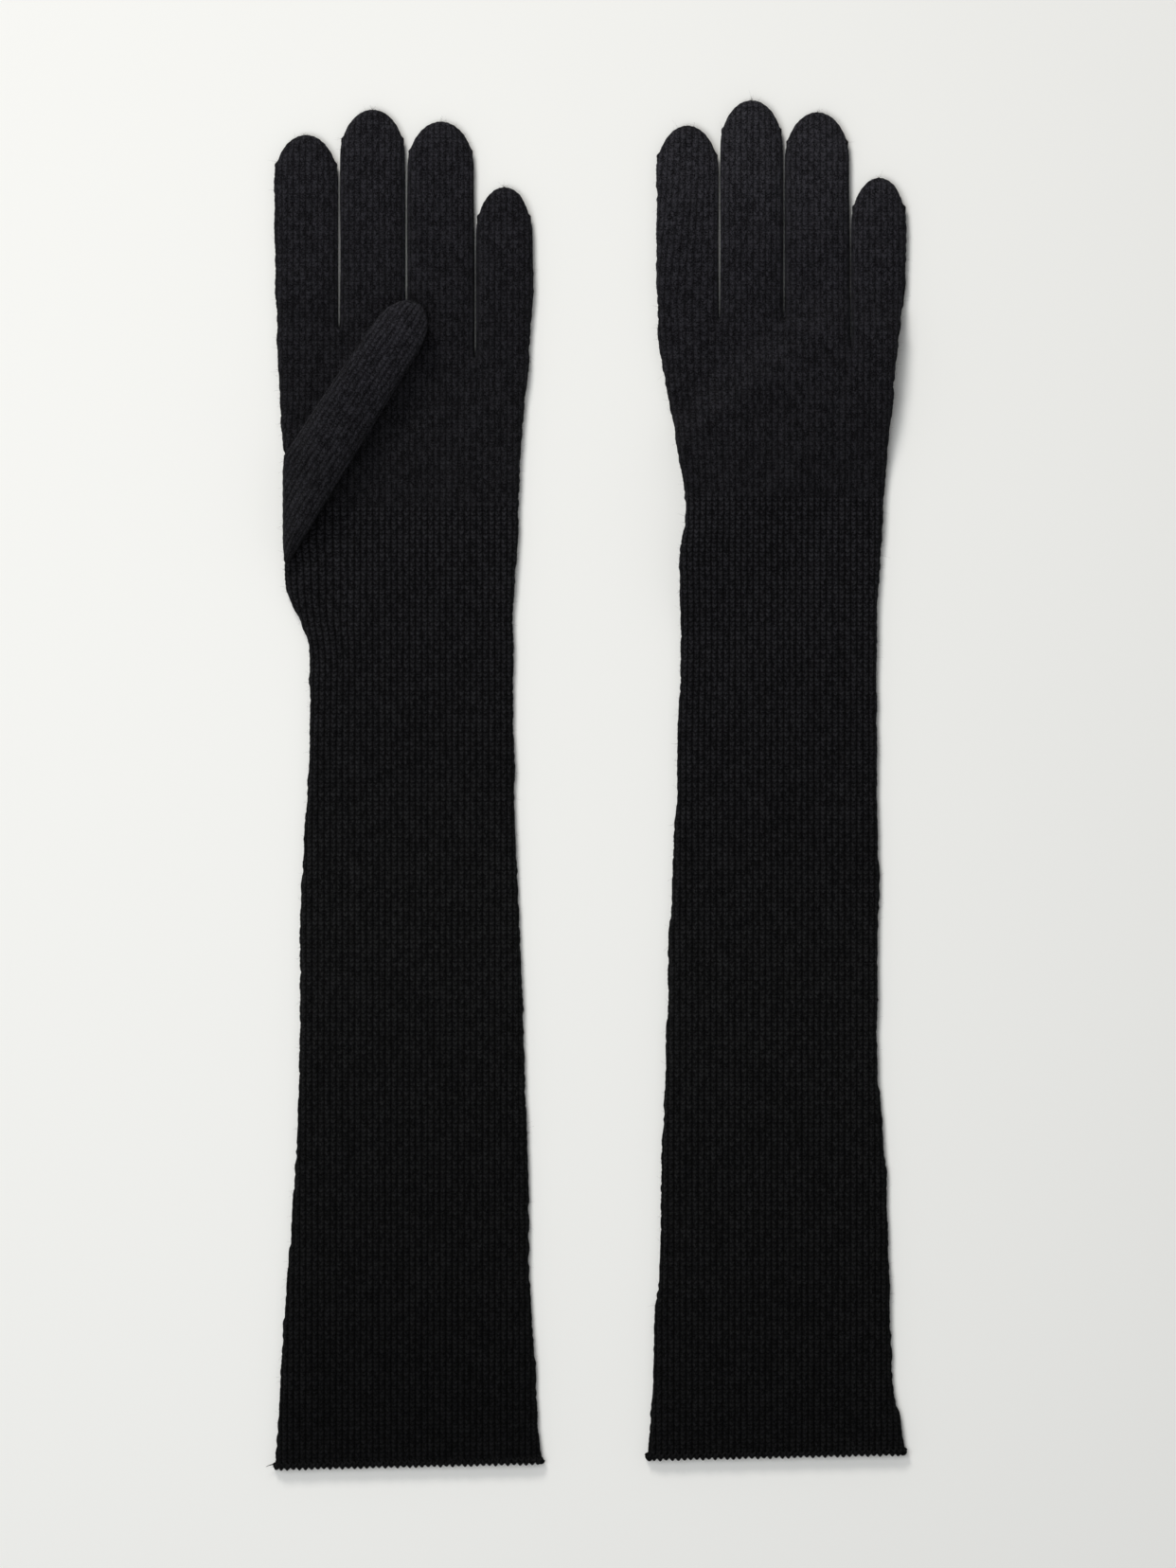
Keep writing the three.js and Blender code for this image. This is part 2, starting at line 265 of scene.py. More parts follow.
# The knit coordinates count stitches across and rows of stitches up from the hem.
def makeKnit(name, paintedGrooveShade, legDepth, grainAmount):
    finish = Finish(name)
    place = finish.out(finish.node("ShaderNodeUVMap", {"uv_map": "knit"}))
    parts = finish.node("ShaderNodeSeparateXYZ", None, i0=place)
    across, up = finish.out(parts, 0), finish.out(parts, 1)
    millimetres = (knitLook["wale"], knitLook["course"], 1)
    cloth = finish.node("ShaderNodeVectorMath", {"operation": "MULTIPLY"}, i0=place, i1=millimetres)
    cloth = finish.out(cloth)
    grain, fine, wide = (finish.noise(cloth, *knitLook[name]) for name in ("grain", "fine", "wide"))

    # Each stitch is a V: two legs that lean in to the middle of the wale, with grooves between wales.
    swayAcross, swayUp = knitLook["sway"]
    across = across + swayAcross * (grain - 0.5)
    up = up + swayUp * (grain - 0.5)
    side = finish.sum("ABSOLUTE", finish.sum("FRACT", across) * 2 - 1)
    rib = finish.sum("ABSOLUTE", finish.sum("SINE", across * math.pi))
    slope = up - side * knitLook["lean"]
    leg = finish.sum("ABSOLUTE", finish.sum("SINE", slope * math.pi)) ** 0.7
    cleft = finish.clamped(1 - side * 5)
    stitch = (rib ** 0.75) * (1 - legDepth + legDepth * leg) - knitLook["cleft"] * cleft
    stitch = finish.clamped(stitch)
    twist = finish.sum("SINE", (up * 3.0 + side * 2.2) * 2 * math.pi)
    column = finish.sum("FLOOR", across * 2)
    cell = finish.node("ShaderNodeCombineXYZ", None, i0=column, i1=finish.sum("FLOOR", slope))
    cell = finish.node("ShaderNodeTexWhiteNoise", {"noise_dimensions": "2D"}, i0=finish.out(cell))
    cell = finish.out(cell)    # a different value for each leg of each stitch
    stitchHeight, twistHeight, grainHeight, fineHeight = knitLook["heights"]
    height = stitchHeight * stitch + twistHeight * twist * rib + grainHeight * grain + fineHeight * fine
    strength, distance = knitLook["bumpStrength"], knitLook["bump"]
    bump = finish.node("ShaderNodeBump", None, i0=strength, i1=distance, i3=height)
    finish.feed(finish.surface.inputs["Normal"], finish.out(bump))

    # Painted light and shade: the colour is read off the ramp by how far up the arm a stitch lies.
    along = up / knitLook["courses"]
    paintedTone = finish.out(finish.node("ShaderNodeValToRGB", {"stops": knitLook["tones"]}, i0=along))
    ofGrain, ofFine, ofLeg = knitLook["contrasts"]
    speckle = 0.5 + ofGrain * (grain - 0.5) + ofFine * (fine - 0.5) + ofLeg * (cell - 0.5)
    speckle = finish.clamped(speckle)
    # Painted shade: the colour is darkened in the grooves between the wales and down the middle of each
    # stitch, where shade falls.
    depth = (1 - paintedGrooveShade) + 2 * paintedGrooveShade * stitch
    mottle = 1 + knitLook["mottle"] * (wide - 0.5)
    texture = depth * (1 - grainAmount + 2 * grainAmount * speckle) * mottle
    hairs = finish.clamped((fine - 0.64) * 5) * finish.clamped((grain - 0.45) * 4)
    share = hairs * knitLook["fibreShare"]
    colour = finish.blendColours(share, finish.scaled(paintedTone, texture), knitLook["fibre"])
    finish.feed(finish.surface.inputs["Base Color"], colour)
    finish.settle({
        "Roughness": knitLook["roughness"],
        "Specular IOR Level": knitLook["gloss"],
        "Sheen Weight": knitLook["sheen"],
        "Sheen Roughness": knitLook["sheenRoughness"],
    })
    return finish.material


def makeFloorFinish():
    finish = Finish("pale floor")
    place = finish.out(finish.node("ShaderNodeTexCoord"), 3)
    wide = finish.noise(place, *floorLook["patches"])
    fine = finish.noise(place, *floorLook["grain"])
    colour = floorLook["colour"]
    deep = tuple(floorLook["shade"] * value for value in colour)
    mixed = finish.blendColours(wide, (*deep, 1), (*colour, 1))
    finish.feed(finish.surface.inputs["Base Color"], mixed)
    strength, distance = floorLook["grainStrength"], floorLook["grainHeight"]
    bump = finish.node("ShaderNodeBump", None, i0=strength, i1=distance, i3=fine)
    finish.feed(finish.surface.inputs["Normal"], finish.out(bump))
    finish.settle({"Roughness": floorLook["roughness"], "Specular IOR Level": floorLook["gloss"]})
    return finish.material


def makeFloor():
    half = floorLook["size"] / 2
    mesh = bpy.data.meshes.new("floor")
    corners = [(-half, -half, 0), (half, -half, 0), (half, half, 0), (-half, half, 0)]
    mesh.from_pydata(corners, [], [(0, 1, 2, 3)])
    mesh.materials.append(makeFloorFinish())
    floor = bpy.data.objects.new("floor", mesh)
    bpy.context.scene.collection.objects.link(floor)


makeFloor()
print("floor made")

knit = {
    "wale": 0.00228,          # a stitch's width
    "course": 0.00172,        # a stitch's height
    "columnsPerWale": 4,
    "sleeveRows": 2,          # mesh rows to a course
    "handRows": 3,
    "halfThickness": 0.0026,  # from the middle of the flattened tube out to its cloth
    "sleeveHalf": 0.0020,     # the same at the sleeve, which lies flatter
    "sleeveRound": 0.0040,    # how far in from an edge the cloth starts to curve down
    "fingerRound": 0.0068,
    "wall": 0.0011,
    "innerStep": 0.008,       # between the rows of the inside surface
    "edgeMargin": 0.001,
    "edgeColumns": (0.0, 0.08, 0.3, 0.6),    # as shares of the margin
    "gap": 0.0005,            # between two fingers
    "weldStep": 1e-6,
}
# How deep the grooves between the ribs and between the stitches are, at the hem, the wrist, the
# knuckles and the fingertips.
depths = {
    "places": (0.0, 0.30, 0.43, 0.50),
    "rib": (0.00050, 0.00036, 0.00026, 0.00020),
    "stitch": (0.00016, 0.00018, 0.00020, 0.00018),
}
seams = {
    "hemEnd": 0.080,          # where one length of visible knit meets the next, from the hem
    "elbowEnd": 0.160,
    "forearmEnd": 0.250,
    "wristEnd": 0.360,
    "stubEnd": 0.434,
}
bends = {"elbow": 0.024, "wrist": 0.022, "finger": 0.010}


def verticesOf(node):
    mesh = frame["nodes"][node].data
    flat = np.empty(len(mesh.vertices) * 3)
    mesh.vertices.foreach_get("co", flat)
    return flat.reshape(-1, 3)


def smoothCurve(places, values):
    slopes = np.gradient(values, places)

    def at(place):
        place = np.clip(place, places[0], places[-1])
        i = np.clip(np.searchsorted(places, place, side="right") - 1, 0, len(places) - 2)
        span = places[i + 1] - places[i]
        t = (place - places[i]) / span
        rise = values[i] + (values[i + 1] - values[i]) * t * t * (3 - 2 * t)
        return rise + span * t * (1 - t) * (slopes[i] * (1 - t) - slopes[i + 1] * t)

    return at


def smoothStep(value, low, high):
    t = np.clip((value - low) / (high - low), 0, 1)
    return t * t * (3 - 2 * t)


# What a stitch adds to the cloth's surface, from the counts of stitches across and up.
def stitchRelief(across, up, ribDepth, stitchDepth):
    rib = np.abs(np.sin(np.pi * across)) ** 0.8
    side = np.abs(2 * (across % 1) - 1)
    leg = np.abs(np.sin(np.pi * (up - knitLook["lean"] * side)))
    return ribDepth * (rib - 1) + stitchDepth * (leg - 1) * rib


# How cloth turns over towards an edge: how far it has turned, how high it still stands and how
# much longer the way over it is than the flat distance.
def turnOver(distance, roundness, half):
    curl = np.clip(1 - distance / roundness, 0, 1)
    level = np.sqrt(1 - curl * curl)
    quarter = math.pi / 2 * np.sqrt((roundness ** 2 + half ** 2) / 2)
    return curl, level, (quarter - roundness) * (1 - level)


# A rectangular net of points on one face of the cloth, top or bottom.
class Sheet:
    def __init__(self, points, outward, counts, places, top):
        self.points = points
        self.outward = outward
        self.counts = counts
        self.places = places
        self.top = top
        self.wall = np.full(points.shape[:2] + (1,), knit["wall"])    # the cloth's thickness


# The index of each point among those that differ.
def weld(points):
    steps = np.round(points / knit["weldStep"] + 0.317).astype(np.int64) + (1 << 20)
    key = (steps[:, 0] << 42) | (steps[:, 1] << 21) | steps[:, 2]
    first, index = np.unique(key, return_index=True, return_inverse=True)[1:]
    return first, index


def quadsOf(index, top):
    a, b = index[:-1, :-1].ravel(), index[:-1, 1:].ravel()
    c, d = index[1:, 1:].ravel(), index[1:, :-1].ravel()
    return np.stack([a, b, c, d] if top else [a, d, c, b], axis=1)


# Gives every point of the sheets the cloth's own smooth normal, across all the joins.
def shadeSheets(sheets):
    points = np.concatenate([sheet.points.reshape(-1, 3) for sheet in sheets])
    first, index = weld(points)
    points = points[first]
    total = np.zeros_like(points)
    start = 0
    for sheet in sheets:
        count = sheet.points.shape[0] * sheet.points.shape[1]
        sheet.index = index[start:start + count].reshape(sheet.points.shape[:2])
        start += count
        quads = quadsOf(sheet.index, sheet.top)
        one = points[quads[:, 2]] - points[quads[:, 0]]
        two = points[quads[:, 3]] - points[quads[:, 1]]
        facing = np.cross(one, two)
        for corner in range(4):
            for axis in range(3):
                total[:, axis] += np.bincount(quads[:, corner], facing[:, axis], len(points))
    total /= np.maximum(np.linalg.norm(total, axis=1, keepdims=True), 1e-12)
    for sheet in sheets:
        sheet.smooth = total[sheet.index]


# Where the parts of a piece lie in its flat layout: from how far up, and how tall each is.
bakeLayout = {
    "outside": (0.002, 0.86),
    "inside": (0.87, 0.06),
    "hairs": (0.942, 0.024),
    "rims": (0.974, 0.988),
    "rimHeight": 0.01,
    "top": 0.004,            # where the top and the bottom of the cloth start, and their width
    "bottom": 0.504,
    "width": 0.492,
}


# One visible length of knit as a closed shell: the sheets' outside between two places, the inside
# surface a wall below it, and the rims that join them.
def makeShell(name, sheets, low, high, material):
    grids = []    # points, normals, counts, bake places, whether it faces up as laid out
    span = [np.inf, -np.inf, np.inf, -np.inf]
    cuts = []
    for sheet in sheets:
        rows = np.flatnonzero((sheet.places > low - 1e-7) & (sheet.places < high + 1e-7))
        if len(rows) > 1:
            cuts.append((sheet, rows))
            part = sheet.counts[rows[0]:rows[-1] + 1]
            span[0] = min(span[0], part[..., 0].min())
            span[1] = max(span[1], part[..., 0].max())
            span[2] = min(span[2], part[..., 1].min())
            span[3] = max(span[3], part[..., 1].max())

    def bakePlace(counts, top, floorAt, height):
        across = (counts[..., 0] - span[0]) / (span[1] - span[0])
        up = (counts[..., 1] - span[2]) / (span[3] - span[2])
        left = bakeLayout["top" if top else "bottom"]
        return np.stack([left + bakeLayout["width"] * across, floorAt + height * up], axis=-1)

    hairs = []
    for sheet, rows in cuts:
        start, stop = rows[0], rows[-1] + 1
        counts = sheet.counts[start:stop]
        hairs += pickHairs(sheet, start, stop, len(hairs) + sum(map(ord, name)))
        points = sheet.points[start:stop]
        bake = bakePlace(counts, sheet.top, *bakeLayout["outside"])
        grids.append((points, sheet.smooth[start:stop], counts, bake, sheet.top))
        places = sheet.places[rows]
        wanted = max(2, int(round((places[-1] - places[0]) / knit["innerStep"])) + 1)
        evenly = np.linspace(places[0], places[-1], wanted)
        picks = np.unique(np.searchsorted(places, evenly - 1e-9))
        inner = (points - sheet.outward[start:stop] * sheet.wall[start:stop])[picks]
        inward = -sheet.outward[start:stop][picks]
        bake = bakePlace(counts[picks], sheet.top, *bakeLayout["inside"])
        grids.append((inner, inward, counts[picks], bake, not sheet.top))
        for end, shelf in zip((0, -1), bakeLayout["rims"]):
            pair = np.stack([points[end], inner[end]])
            facing = np.stack([sheet.smooth[rows[end]], inward[end]])
            across = np.stack([counts[end], counts[end]])
            bake = bakePlace(across, sheet.top, 0, 0)
            bake[0, :, 1] = shelf
            bake[1, :, 1] = shelf + bakeLayout["rimHeight"]
            grids.append((pair, facing, across, bake, sheet.top == (end == -1)))
    for i, hair in enumerate(hairs):
        grids.append(hairTube(hair, fuzz["radius"], i, len(hairs)))
    return makeMesh(name, grids, material)


fuzz = {
    "steep": 0.45,           # how far up the cloth may face where the hairs of an edge start
    "edgeStep": 0.0009,      # between the hairs along an edge, one for each face of the cloth
    "perPoint": 0.010,       # hairs for each point of the net, over the top
    "mostPerSheet": 160,
    "short": 0.0005,
    "long": 0.0019,
    "radius": 0.000035,
    "scatter": 0.6,
    "bend": 0.45,
    "rooted": 0.0002,        # how deep in the cloth they start
    "topLift": 0.3,          # how much of their rise the hairs away from the edges keep
}


# Loose hairs that stand off the wool: where each starts, where it heads and how it bends.
def pickHairs(sheet, start, stop, seed):
    if not sheet.top:
        return []
    rng = np.random.default_rng(seed)
    points, outward = sheet.points[start:stop], sheet.outward[start:stop]
    steep = outward[..., 2]
    atEdge = np.argwhere((np.abs(steep) < fuzz["steep"]) & (steep > -0.25))
    onTop = np.argwhere(steep >= fuzz["steep"])
    span = sheet.places[stop - 1] - sheet.places[start]
    edgeCount = min(int(span / fuzz["edgeStep"]), len(atEdge) // 4, fuzz["mostPerSheet"])
    topCount = min(int(len(onTop) * fuzz["perPoint"]), fuzz["mostPerSheet"])
    hairs = []
    for places, count, lift in ((atEdge, edgeCount, 1.0), (onTop, topCount, fuzz["topLift"])):
        if count < 1:
            continue
        for row, column in places[rng.choice(len(places), count, replace=False)]:
            out = outward[row, column]
            heading = out * rng.uniform(0.5, 1.0) + rng.normal(0, fuzz["scatter"], 3)
            heading[2] = max(heading[2], 0.05)
            heading /= np.linalg.norm(heading)
            length = rng.uniform(fuzz["short"], fuzz["long"])
            bend = rng.normal(0, fuzz["bend"], 3) * length
            bend[2] = abs(bend[2])
            heading[2] *= lift
            bend[2] *= lift
            root = points[row, column] - out * fuzz["rooted"]
            hairs.append((root, heading * length, bend, sheet.counts[start + row, column]))
    return hairs


# A hair as a thin tapered tube of four rings, with a small cell of the bake of its own.
def hairTube(hair, radius, i, total):
    root, heading, bend, count = hair
    along = np.linspace(0, 1, 4)
    middle = root + along[:, None] * heading + (along ** 2)[:, None] * bend
    ahead = heading / np.linalg.norm(heading)
    side = np.cross(ahead, (0.3, 0.5, 0.81))
    side /= np.linalg.norm(side)
    above = np.cross(ahead, side)
    turn = np.array([0, 2 * math.pi / 3, 4 * math.pi / 3, 2 * math.pi])
    around = np.cos(turn)[:, None] * side + np.sin(turn)[:, None] * above
    around[3] = around[0]
    taper = radius * (1 - 0.75 * along)
    points = middle[:, None] + taper[:, None, None] * around[None]
    normals = np.repeat(around[None], 4, axis=0)
    counts = np.repeat(np.repeat(count[None, None], 4, axis=0), 4, axis=1)
    wide = 0.99 / total
    left = 0.005 + wide * i
    across, up = np.meshgrid(np.linspace(0.1, 0.9, 4), np.linspace(0, 1, 4))
    low, height = bakeLayout["hairs"]
    bake = np.stack([left + wide * across, low + height * up], axis=-1)
    return points, normals, counts, bake, False


def makeMesh(name, grids, material):
    points = np.concatenate([grid[0].reshape(-1, 3) for grid in grids])
    normals = np.concatenate([grid[1].reshape(-1, 3) for grid in grids])
    counts = np.concatenate([grid[2].reshape(-1, 2) for grid in grids])
    bake = np.concatenate([grid[3].reshape(-1, 2) for grid in grids])
    first, index = weld(points)
    corners, start = [], 0
    for grid in grids:
        shape = grid[0].shape[:2]
        own = np.arange(start, start + shape[0] * shape[1]).reshape(shape)
        start += shape[0] * shape[1]
        corners.append(quadsOf(own, grid[4]))
    corners = np.concatenate(corners)
    quads = index[corners]
    same = quads == np.roll(quads, -1, axis=1)
    crossed = (quads[:, 0] == quads[:, 2]) | (quads[:, 1] == quads[:, 3])
    whole = (same.sum(1) == 0) & ~crossed
    three = (same.sum(1) == 1) & ~crossed
    others = np.array([[1, 2, 3], [0, 2, 3], [0, 1, 3], [0, 1, 2]])[np.argmax(same[three], axis=1)]
    threes = np.take_along_axis(corners[three], others, axis=1)
    own = np.concatenate([corners[whole].ravel(), threes.ravel()])
    starts = np.concatenate([
        4 * np.arange(whole.sum()),
        4 * whole.sum() + 3 * np.arange(three.sum()),
    ])
    mesh = bpy.data.meshes.new(name)
    mesh.vertices.add(len(first))
    mesh.vertices.foreach_set("co", points[first].astype(np.float32).ravel())
    mesh.loops.add(len(own))
    mesh.loops.foreach_set("vertex_index", index[own].astype(np.int32))
    mesh.polygons.add(len(starts))
    mesh.polygons.foreach_set("loop_start", starts.astype(np.int32))
    mesh.update(calc_edges=True)
    for layer, values in (("knit", counts), ("OFBake", bake)):
        flat = values[own].astype(np.float32).ravel()
        mesh.uv_layers.new(name=layer).uv.foreach_set("vector", flat)
    mesh.validate()    # drops the doubled faces where a fingertip closes to a point
    mesh.shade_smooth()
    mesh.normals_split_custom_set_from_vertices(normals[first])
    mesh.materials.append(material)
    made = bpy.data.objects.new(name, mesh)
    bpy.context.scene.collection.objects.link(made)
    return made


# The row places between two ends, on whole fractions of a course, with the given places put in.
def rowPlaces(hem, low, high, perCourse, fixed):
    step = knit["course"] / perCourse
    first, last = math.ceil((low - hem) / step - 1e-6), math.floor((high - hem) / step + 1e-6)
    rows = [hem + step * k for k in range(first, last + 1)]
    for place in fixed:
        rows = [row for row in rows if abs(row - place) > step * 0.35]
        rows.append(place)
    return np.array(sorted(rows))


# The places of the columns across a lane at each row, crowded at its two edges over the margins.
def columnPlaces(left, right, centre, leftMargin, rightMargin):
    step = knit["wale"] / knit["columnsPerWale"]
    first, last = math.ceil((left.min() - centre) / step), math.floor((right.max() - centre) / step)
    inner = (centre + step * np.arange(first, last + 1))[None]
    left, right = left[:, None], right[:, None]
    leftMargin = np.minimum(leftMargin[:, None], 0.45 * (right - left))
    rightMargin = np.minimum(rightMargin[:, None], 0.45 * (right - left))
    edge = np.array(knit["edgeColumns"])[None]
    middle = np.clip(inner, left + leftMargin, right - rightMargin)
    ends = left + edge * leftMargin, right - edge[:, ::-1] * rightMargin
    return np.concatenate([ends[0], middle, ends[1]], axis=1)


# Trims are pairs: how far up from the hem, and how far an edge lies to the right of where the
# plain solid has it, in millimetres. A crease is a soft furrow: its two ends, measured from the
# glove's centre line and hem, its half width and its depth.
gloves = {
    "left": {
        "hemSlope": 0.021,       # how much higher the hem's right end lies, as a share of its width
        "earFlare": 0.0010,
        "waves": 0.00009,
        "puff": 0.0055,          # how far the palm swells under the folded thumb
        "fanTop": 0.345,         # up to where the wales follow the thumb's side, from the hem
        "firstCourse": 0,        # where the glove starts on the painted ramp of light and shade
        "ragged": 11,            # seed of its side edges
        "yarnEnd": (-0.0030, -0.0003, 0.0002),    # the loose end at the hem's left corner
        "leftTrims": (
            (0.000, 0.0), (0.036, -0.3), (0.107, -0.5), (0.160, -0.3), (0.225, -0.5), (0.248, 0.4),
            (0.267, 0.9), (0.286, 0.6), (0.302, 0.0), (0.311, 0.6), (0.317, 0.0), (0.323, -1.5),
            (0.330, -2.6), (0.338, -2.2), (0.346, -0.9), (0.355, 0.0), (0.372, 0.6), (0.390, -0.7),
            (0.408, -0.5), (0.426, 0.1), (0.447, 0.4), (0.468, 0.0),
        ),
        "rightTrims": (
            (0.000, 0.1), (0.018, -0.2), (0.036, 0.6), (0.053, 0.0), (0.085, -0.2), (0.107, 0.4),
            (0.142, 0.2), (0.160, 0.7), (0.213, 0.7), (0.231, 0.5), (0.248, 0.0), (0.266, 0.2),
            (0.284, -0.2), (0.302, 0.2), (0.323, -0.4), (0.337, 0.3), (0.390, 0.4), (0.408, 1.1),
            (0.426, 0.6), (0.447, 0.5), (0.468, -0.3),
        ),
        "creases": (
            (-0.0345, 0.3285, -0.0275, 0.3150, 0.0012, 0.0011),
            (-0.0320, 0.3330, -0.0220, 0.3150, 0.0013, 0.0008),
            (-0.0370, 0.3220, -0.0310, 0.3110, 0.0010, 0.0007),
            (-0.0300, 0.2560, 0.0260, 0.2600, 0.0050, 0.0006),
            (-0.0250, 0.1500, 0.0300, 0.1440, 0.0060, 0.0006),
            (-0.0400, 0.0620, 0.0100, 0.0660, 0.0050, 0.0005),
        ),
    },
    "right": {
        "hemSlope": 0.021,
        "earFlare": 0.0008,
        "waves": 0.00009,
        "puff": 0.0,
        "fanTop": 0.430,
        # Painted light: the right glove starts 22 courses up the painted ramp, so it is painted paler than
        # the left, standing in for the brighter light on it.
        "firstCourse": 22,
        "ragged": 12,
        "yarnEnd": None,
        "leftTrims": (
            (0.000, -0.5), (0.014, 0.1), (0.032, 0.4), (0.050, 0.3), (0.068, 1.1), (0.085, 1.0),
            (0.112, -0.1), (0.138, -0.1), (0.156, -0.5), (0.174, -0.3), (0.192, -1.2), (0.209, -0.5),
            (0.227, -0.6), (0.245, 0.0), (0.263, -0.4), (0.298, 0.1), (0.316, -0.3), (0.334, -0.2),
            (0.345, 1.1), (0.356, 1.4), (0.369, 0.5), (0.387, -0.4), (0.404, -1.5), (0.419, -1.9),
            (0.433, -0.8), (0.450, -0.2),
        ),
        "rightTrims": (
            (0.000, 0.0), (0.014, -0.3), (0.023, -1.7), (0.032, -1.5), (0.050, -0.7), (0.068, 0.1),
            (0.090, 0.3), (0.112, 0.6), (0.122, 0.0), (0.138, -0.9), (0.156, -1.4), (0.174, -0.8),
            (0.192, -0.6), (0.209, 0.1), (0.245, -0.2), (0.298, 0.0), (0.334, 0.1), (0.351, 0.5),
            (0.376, 0.3), (0.394, 0.3), (0.410, -0.1), (0.440, 0.2), (0.460, 0.2),
        ),
        "creases": (
            (-0.0330, 0.2480, 0.0250, 0.2440, 0.0045, 0.0007),
            (-0.0300, 0.2300, 0.0150, 0.2350, 0.0050, 0.0006),
            (-0.0250, 0.1100, 0.0350, 0.1180, 0.0060, 0.0006),
            (-0.0420, 0.0480, 0.0150, 0.0530, 0.0040, 0.0006),
            (-0.0100, 0.0300, 0.0440, 0.0260, 0.0040, 0.0006),
        ),
    },
}
fingerNames = ("index", "middle", "ring", "little")
thumbShape = {
    "rootWidth": 0.024,
    "tipWidth": 0.020,
    "tipRound": 0.015,
    "round": 0.0058,
    "fullRound": 0.0092,     # the same two measures for a thumb that lies on top, loosely
    "fullHalf": 0.0044,
    "settle": 0.0008,        # how much closer to the palm it lies than its solid
    "wallBulge": 0.0007,     # how far the cloth stands out where it turns round the fold
    "underInset": 0.0036,    # how far in from the hand's edge a thumb under it starts
    "blunt": 0.0035,         # cut off the sharp lower end of the root
    "paler": 34,             # courses further on in the painted ramp than the palm beside it, so the thumb is painted paler
    "sink": 0.0022,          # how far the root's lower end sinks towards the palm
    "sinkLength": 0.022,
    "fadeIn": 0.006,         # from the root's lower end to where the ribs are at full depth
    "seamBefore": 0.012,     # from where its two visible lengths meet to its knuckle
}
# Cloth raised by a thumb under it: steeper on the side towards the fingertips.
cover = {"margin": 0.0010, "steepRamp": 0.0180, "longRamp": 0.0320}
puffRamp = (-0.0075, 0.0030)    # where the swelling falls away, out from the folded thumb's edge
# How uneven the side edges are. Waves are how close, where they start and how strong.
ragged = {
    "size": 0.00022,
    "perCourse": 1.0,
    "earLength": 0.004,      # how far up from the hem its corners flare
    "waves": (
        ((310, 0, 1), (173, 1.3, 0.7), (655, 0, 0.5)),
        ((287, 2, 1), (151, 0, 0.7), (702, 0, 0.5)),
    ),
}
# How the wales beside the thumb's edge lean with it.
fanShape = {"from": 0.27, "share": 0.6, "near": 0.001, "far": 0.028, "fade": 0.06}
softWaves = {"slow": 0.00036, "quick": 0.00012}
tipStep = {"place": 0.40, "size": 0.00055}    # the little step where a fingertip's decreases begin
# From what turn a fingertip's rows follow its round end, and how many rows there are.
tipTurn = {"from": 0.62, "fingerRows": 22, "thumbRows": 18}
tipRound = 0.018         # length over which a finger's end rounds off
outlineStep = 0.0115


